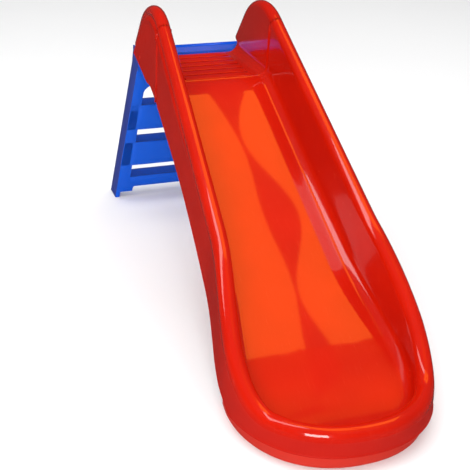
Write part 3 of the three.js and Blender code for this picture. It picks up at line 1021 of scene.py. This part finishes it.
def makeSlideRed():
    finish = Finish("slideRed")
    cloud = finish.noise(0.16, 2.0, 0.5)
    grain = finish.noise(0.0016, 2.0, 0.6)
    scuff = finish.noise(0.010, 4.0, 0.65, (3.2, 0.35, 0.35))
    unwrapped = finish.node("ShaderNodeUVMap", {}, {}, "UV")
    u = finish.node("ShaderNodeSeparateXYZ", {}, {"Vector": unwrapped}, "X")
    outer = finish.ramp(u, (0.61, 0.0), (0.66, 1.0))
    scuffMask = finish.ramp(scuff, (0.56, 0.0), (0.72, 1.0))
    # cloud gives random darker tone; the outer skin (u past 0.61) is painted darker as painted shade on the
    # outer faces
    depth = finish.ramp(cloud, (0.35, 0.0), (0.7, 1.0)) * 0.5 + outer * 0.4
    shade = finish.blend(depth, redFinish["bed"], redFinish["deepToneAndOuterShade"])
    shade = finish.blend(scuffMask * 0.10, shade, redFinish["worn"])
    finish.set("Base Color", shade)
    rough = redFinish["gloss"] + cloud * 0.05 + scuffMask * 0.10
    outerStep = redFinish["outerGloss"] - redFinish["gloss"]
    finish.set("Roughness", rough + outer * outerStep + grain * 0.03)
    wave = finish.bump(finish.noise(0.24, 1.0, 0.4), 0.0010)
    peel = finish.bump(finish.noise(0.0042, 2.0, 0.5), 0.00004, 1.0, wave)
    finish.set("Normal", finish.bump(grain * (0.25 + outer), 0.00003, 1.0, peel))
    along = finish.node("ShaderNodeSeparateXYZ", {}, {"Vector": finish.place()}, "Y")
    runOut = finish.ramp(along - tipY + finish.noise(0.05, 2.0) * 0.016, (redFinish["runOutEnd"], 1.0),
                         (redFinish["runOutEnd"] + 0.006, 0.0))
    bedMask = finish.ramp(u, (0.25, 1.0), (0.31, 0.0))
    finish.set("Coat Weight", (1.0 - outer * 0.93) * (1.0 - runOut * bedMask * 0.92))
    finish.shader.inputs["Coat Roughness"].default_value = 0.04
    finish.shader.inputs["Specular IOR Level"].default_value = 0.12
    return finish.material


def makeBaseRed():
    finish = Finish("baseRed")
    cloud = finish.noise(0.08, 3.0, 0.5)
    grain = finish.noise(0.0018, 2.0, 0.6)
    dust = finish.ramp(finish.node("ShaderNodeSeparateXYZ", {}, {"Vector": finish.place()}, "Z"),
                       (0.0, 1.0), (0.022, 0.0))
    shade = finish.blend(cloud * 0.6, (0.70, 0.020, 0.005, 1), (0.52, 0.010, 0.003, 1))
    finish.set("Base Color", finish.blend(dust * 0.10, shade, (0.60, 0.16, 0.12, 1)))
    finish.set("Roughness", 0.30 + cloud * 0.10 + dust * 0.12 + grain * 0.05)
    finish.set("Normal", finish.bump(grain, 0.00005, 1.0, finish.bump(finish.noise(0.06, 1.0), 0.0006)))
    return finish.material


def makeLadderBlue():
    finish = Finish("ladderBlue")
    cloud = finish.noise(0.07, 3.0, 0.5)
    grain = finish.noise(0.0015, 2.0, 0.6)
    facing = finish.node("ShaderNodeTexCoord", {}, {}, "Normal")
    across = finish.node("ShaderNodeSeparateXYZ", {}, {"Vector": facing}, "X")
    upward = finish.node("ShaderNodeSeparateXYZ", {}, {"Vector": facing}, "Z")
    # faces turned upwards, the tread tops, get painted shade, with darker streaks as painted dusky
    # reflection
    top = finish.ramp(upward, (0.70, 0.0), (0.90, 1.0))
    # faces turned sideways, the rail sides, get painted shade
    sides = finish.ramp(across * across, (0.55, 0.0), (0.85, 1.0))
    reflectionStreak = finish.ramp(finish.noise(0.012, 3.0, 0.6, (0.3, 1.6, 1.6)), (0.45, 0.0), (0.65, 1.0))
    shade = finish.blend(cloud * 0.45, (0.0, 0.115, 0.76, 1), (0.0, 0.075, 0.56, 1))
    # painted shade on the tread tops, then painted reflection streaks on them
    shade = finish.blend(top * 0.85, shade, (0.012, 0.050, 0.28, 1))
    shade = finish.blend(top * reflectionStreak * 0.35, shade, (0.02, 0.03, 0.16, 1))
    # painted shade on the sideways faces
    finish.set("Base Color", finish.blend(sides * 0.8, shade, (0.035, 0.040, 0.22, 1)))
    finish.set("Roughness", 0.24 + cloud * 0.08 + top * 0.22 + sides * 0.14 + grain * 0.05)
    wave = finish.bump(finish.noise(0.05, 1.0, 0.4), 0.0007)
    finish.set("Normal", finish.bump(grain, 0.00005, 1.0, wave))
    return finish.material


def makeFitting(name, shadeA, shadeB, gloss):
    finish = Finish(name)
    cloud = finish.noise(0.012, 3.0, 0.6)
    grain = finish.noise(0.0008, 2.0, 0.6)
    finish.set("Base Color", finish.blend(cloud, shadeA, shadeB))
    finish.set("Roughness", gloss + cloud * 0.12 + grain * 0.06)
    finish.set("Normal", finish.bump(grain, 0.00003))
    return finish.material


def dress(piece, material):
    piece.data.materials.clear()
    piece.data.materials.append(material)


dress(slideBody, makeSlideRed())
dress(exitBase, makeBaseRed())
dress(ladderPiece, makeLadderBlue())
pinMaterial = makeFitting("pinRed", (0.66, 0.022, 0.006, 1), (0.50, 0.012, 0.004, 1), 0.30)
nylonMaterial = makeFitting("nylonGrey", (0.50, 0.51, 0.52, 1), (0.40, 0.41, 0.42, 1), 0.42)
for name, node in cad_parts.items():
    if name.startswith("hinge_pin"):
        dress(node, pinMaterial)
    if name.startswith("hinge_washer") or name.startswith("hinge_cap"):
        dress(node, nylonMaterial)
print("finishes made")


# floor, light and surroundings

studio = {
    "floorHalf": 9.0,
    "horizon": 0.06,
    "zenith": 0.05,
    "softPower": 420,
    "stripPower": 17,
    "fillPower": 40,
    "panelHeight": 2.2,
    "panelGlow": 4.6,
    "nearGlow": 0.6,  # weaker sheet beyond the one over the bed
    "panelTint": (1.0, 0.27, 0.03, 1),
    "sheetNear": -0.61,
    "sheetFar": 0.62,
    "sheetEnd": -1.7,
    "sheetLeft": 0.05,
    "sheetRight": 1.5,
    "sheetRows": 40,
    "shadeGap": 0.05,
}


def buildFloor():
    clearSelection()
    bpy.ops.mesh.primitive_grid_add(x_subdivisions=2, y_subdivisions=2, size=studio["floorHalf"] * 2)
    floor = bpy.context.active_object
    floor.name = "studioFloor"
    finish = Finish("floorPaint")
    cloud = finish.noise(0.6, 2.0)
    finish.set("Base Color", finish.blend(cloud, (0.95, 0.95, 0.95, 1), (0.93, 0.93, 0.935, 1)))
    finish.set("Roughness", 0.75 + cloud * 0.1)
    finish.shader.inputs["Specular IOR Level"].default_value = 0.2
    dress(floor, finish.material)
    floor.visible_glossy = False


def addPanel(name, centre, aim, size, power, glossy=True):
    data = bpy.data.lights.new(name, "AREA")
    data.shape = "RECTANGLE"
    data.size, data.size_y = size
    data.energy = power
    light = bpy.data.objects.new(name, data)
    light.location = centre
    light.rotation_euler = (Vector(aim) - Vector(centre)).to_track_quat("-Z", "Y").to_euler()
    light.visible_camera = False
    light.visible_glossy = glossy
    bpy.context.scene.collection.objects.link(light)
    return light


# warm sheet overhead that only shows in gloss, with a wavy inner edge
def addGlowSheet(name, innerEdge, outerEdge, near, far, glow):
    rows = []
    height = studio["panelHeight"]
    for step in range(studio["sheetRows"] + 1):
        y = mix(near, far, step / studio["sheetRows"])
        rows.append([Vector((outerEdge, y, height)), Vector((innerEdge(y), y, height))])
    sheet = gridPiece(name, rows)
    finish = Finish(name + "Light")
    finish.shader.inputs["Base Color"].default_value = (0, 0, 0, 1)
    finish.shader.inputs["Emission Color"].default_value = studio["panelTint"]
    finish.shader.inputs["Emission Strength"].default_value = glow
    dress(sheet, finish.material)
    sheet.visible_camera = False
    sheet.visible_diffuse = False
    sheet.visible_shadow = False
    sheet.visible_transmission = False


# middle and half width of the dark gap between the two sheets
def gapMiddle(y):
    return 0.75 - 0.235 * y + 0.030 * math.sin(y * 8.0 + 1.9)


def gapHalf(y):
    return 0.044 + 0.036 * math.cos(y * 9.6 + 0.35)


def buildWorld():
    world = bpy.data.worlds.new("studioWorld")
    bpy.context.scene.world = world
    world.use_nodes = True
    tree = world.node_tree
    spot = tree.nodes.new("ShaderNodeTexCoord")
    parts = tree.nodes.new("ShaderNodeSeparateXYZ")
    ramp = tree.nodes.new("ShaderNodeValToRGB")
    ramp.color_ramp.elements[0].position = 0.30
    ramp.color_ramp.elements[0].color = (studio["horizon"],) * 3 + (1,)
    ramp.color_ramp.elements[1].position = 0.55
    ramp.color_ramp.elements[1].color = (studio["zenith"],) * 3 + (1,)
    tree.links.new(spot.outputs["Generated"], parts.inputs["Vector"])
    tree.links.new(parts.outputs["Z"], ramp.inputs["Fac"])
    tree.links.new(ramp.outputs["Color"], tree.nodes["Background"].inputs["Color"])


buildFloor()
buildWorld()
addPanel("softOverhead", (0, 0, 4.0), (0, 0, 0), (9, 9), studio["softPower"], False)
addPanel("frontFill", (-1.0, -2.6, 1.0), (-0.1, 0.4, 0.2), (1.0, 1.0), studio["fillPower"])
addPanel("rimStrip", (-1.25, -0.25, 2.2), (-0.2, -0.25, 0.3), (0.5, 2.6), studio["stripPower"])
near, far, glow = studio["sheetNear"], studio["sheetFar"], studio["panelGlow"]
addGlowSheet("glowLeft", lambda y: gapMiddle(y) - gapHalf(y), studio["sheetLeft"], near, far, glow)
addGlowSheet("glowRight", lambda y: gapMiddle(y) + gapHalf(y), studio["sheetRight"], near, far, glow)
addGlowSheet("glowNear", lambda y: studio["sheetRight"], studio["sheetLeft"], studio["sheetEnd"],
             near - studio["shadeGap"], studio["nearGlow"])
print("studio ready")
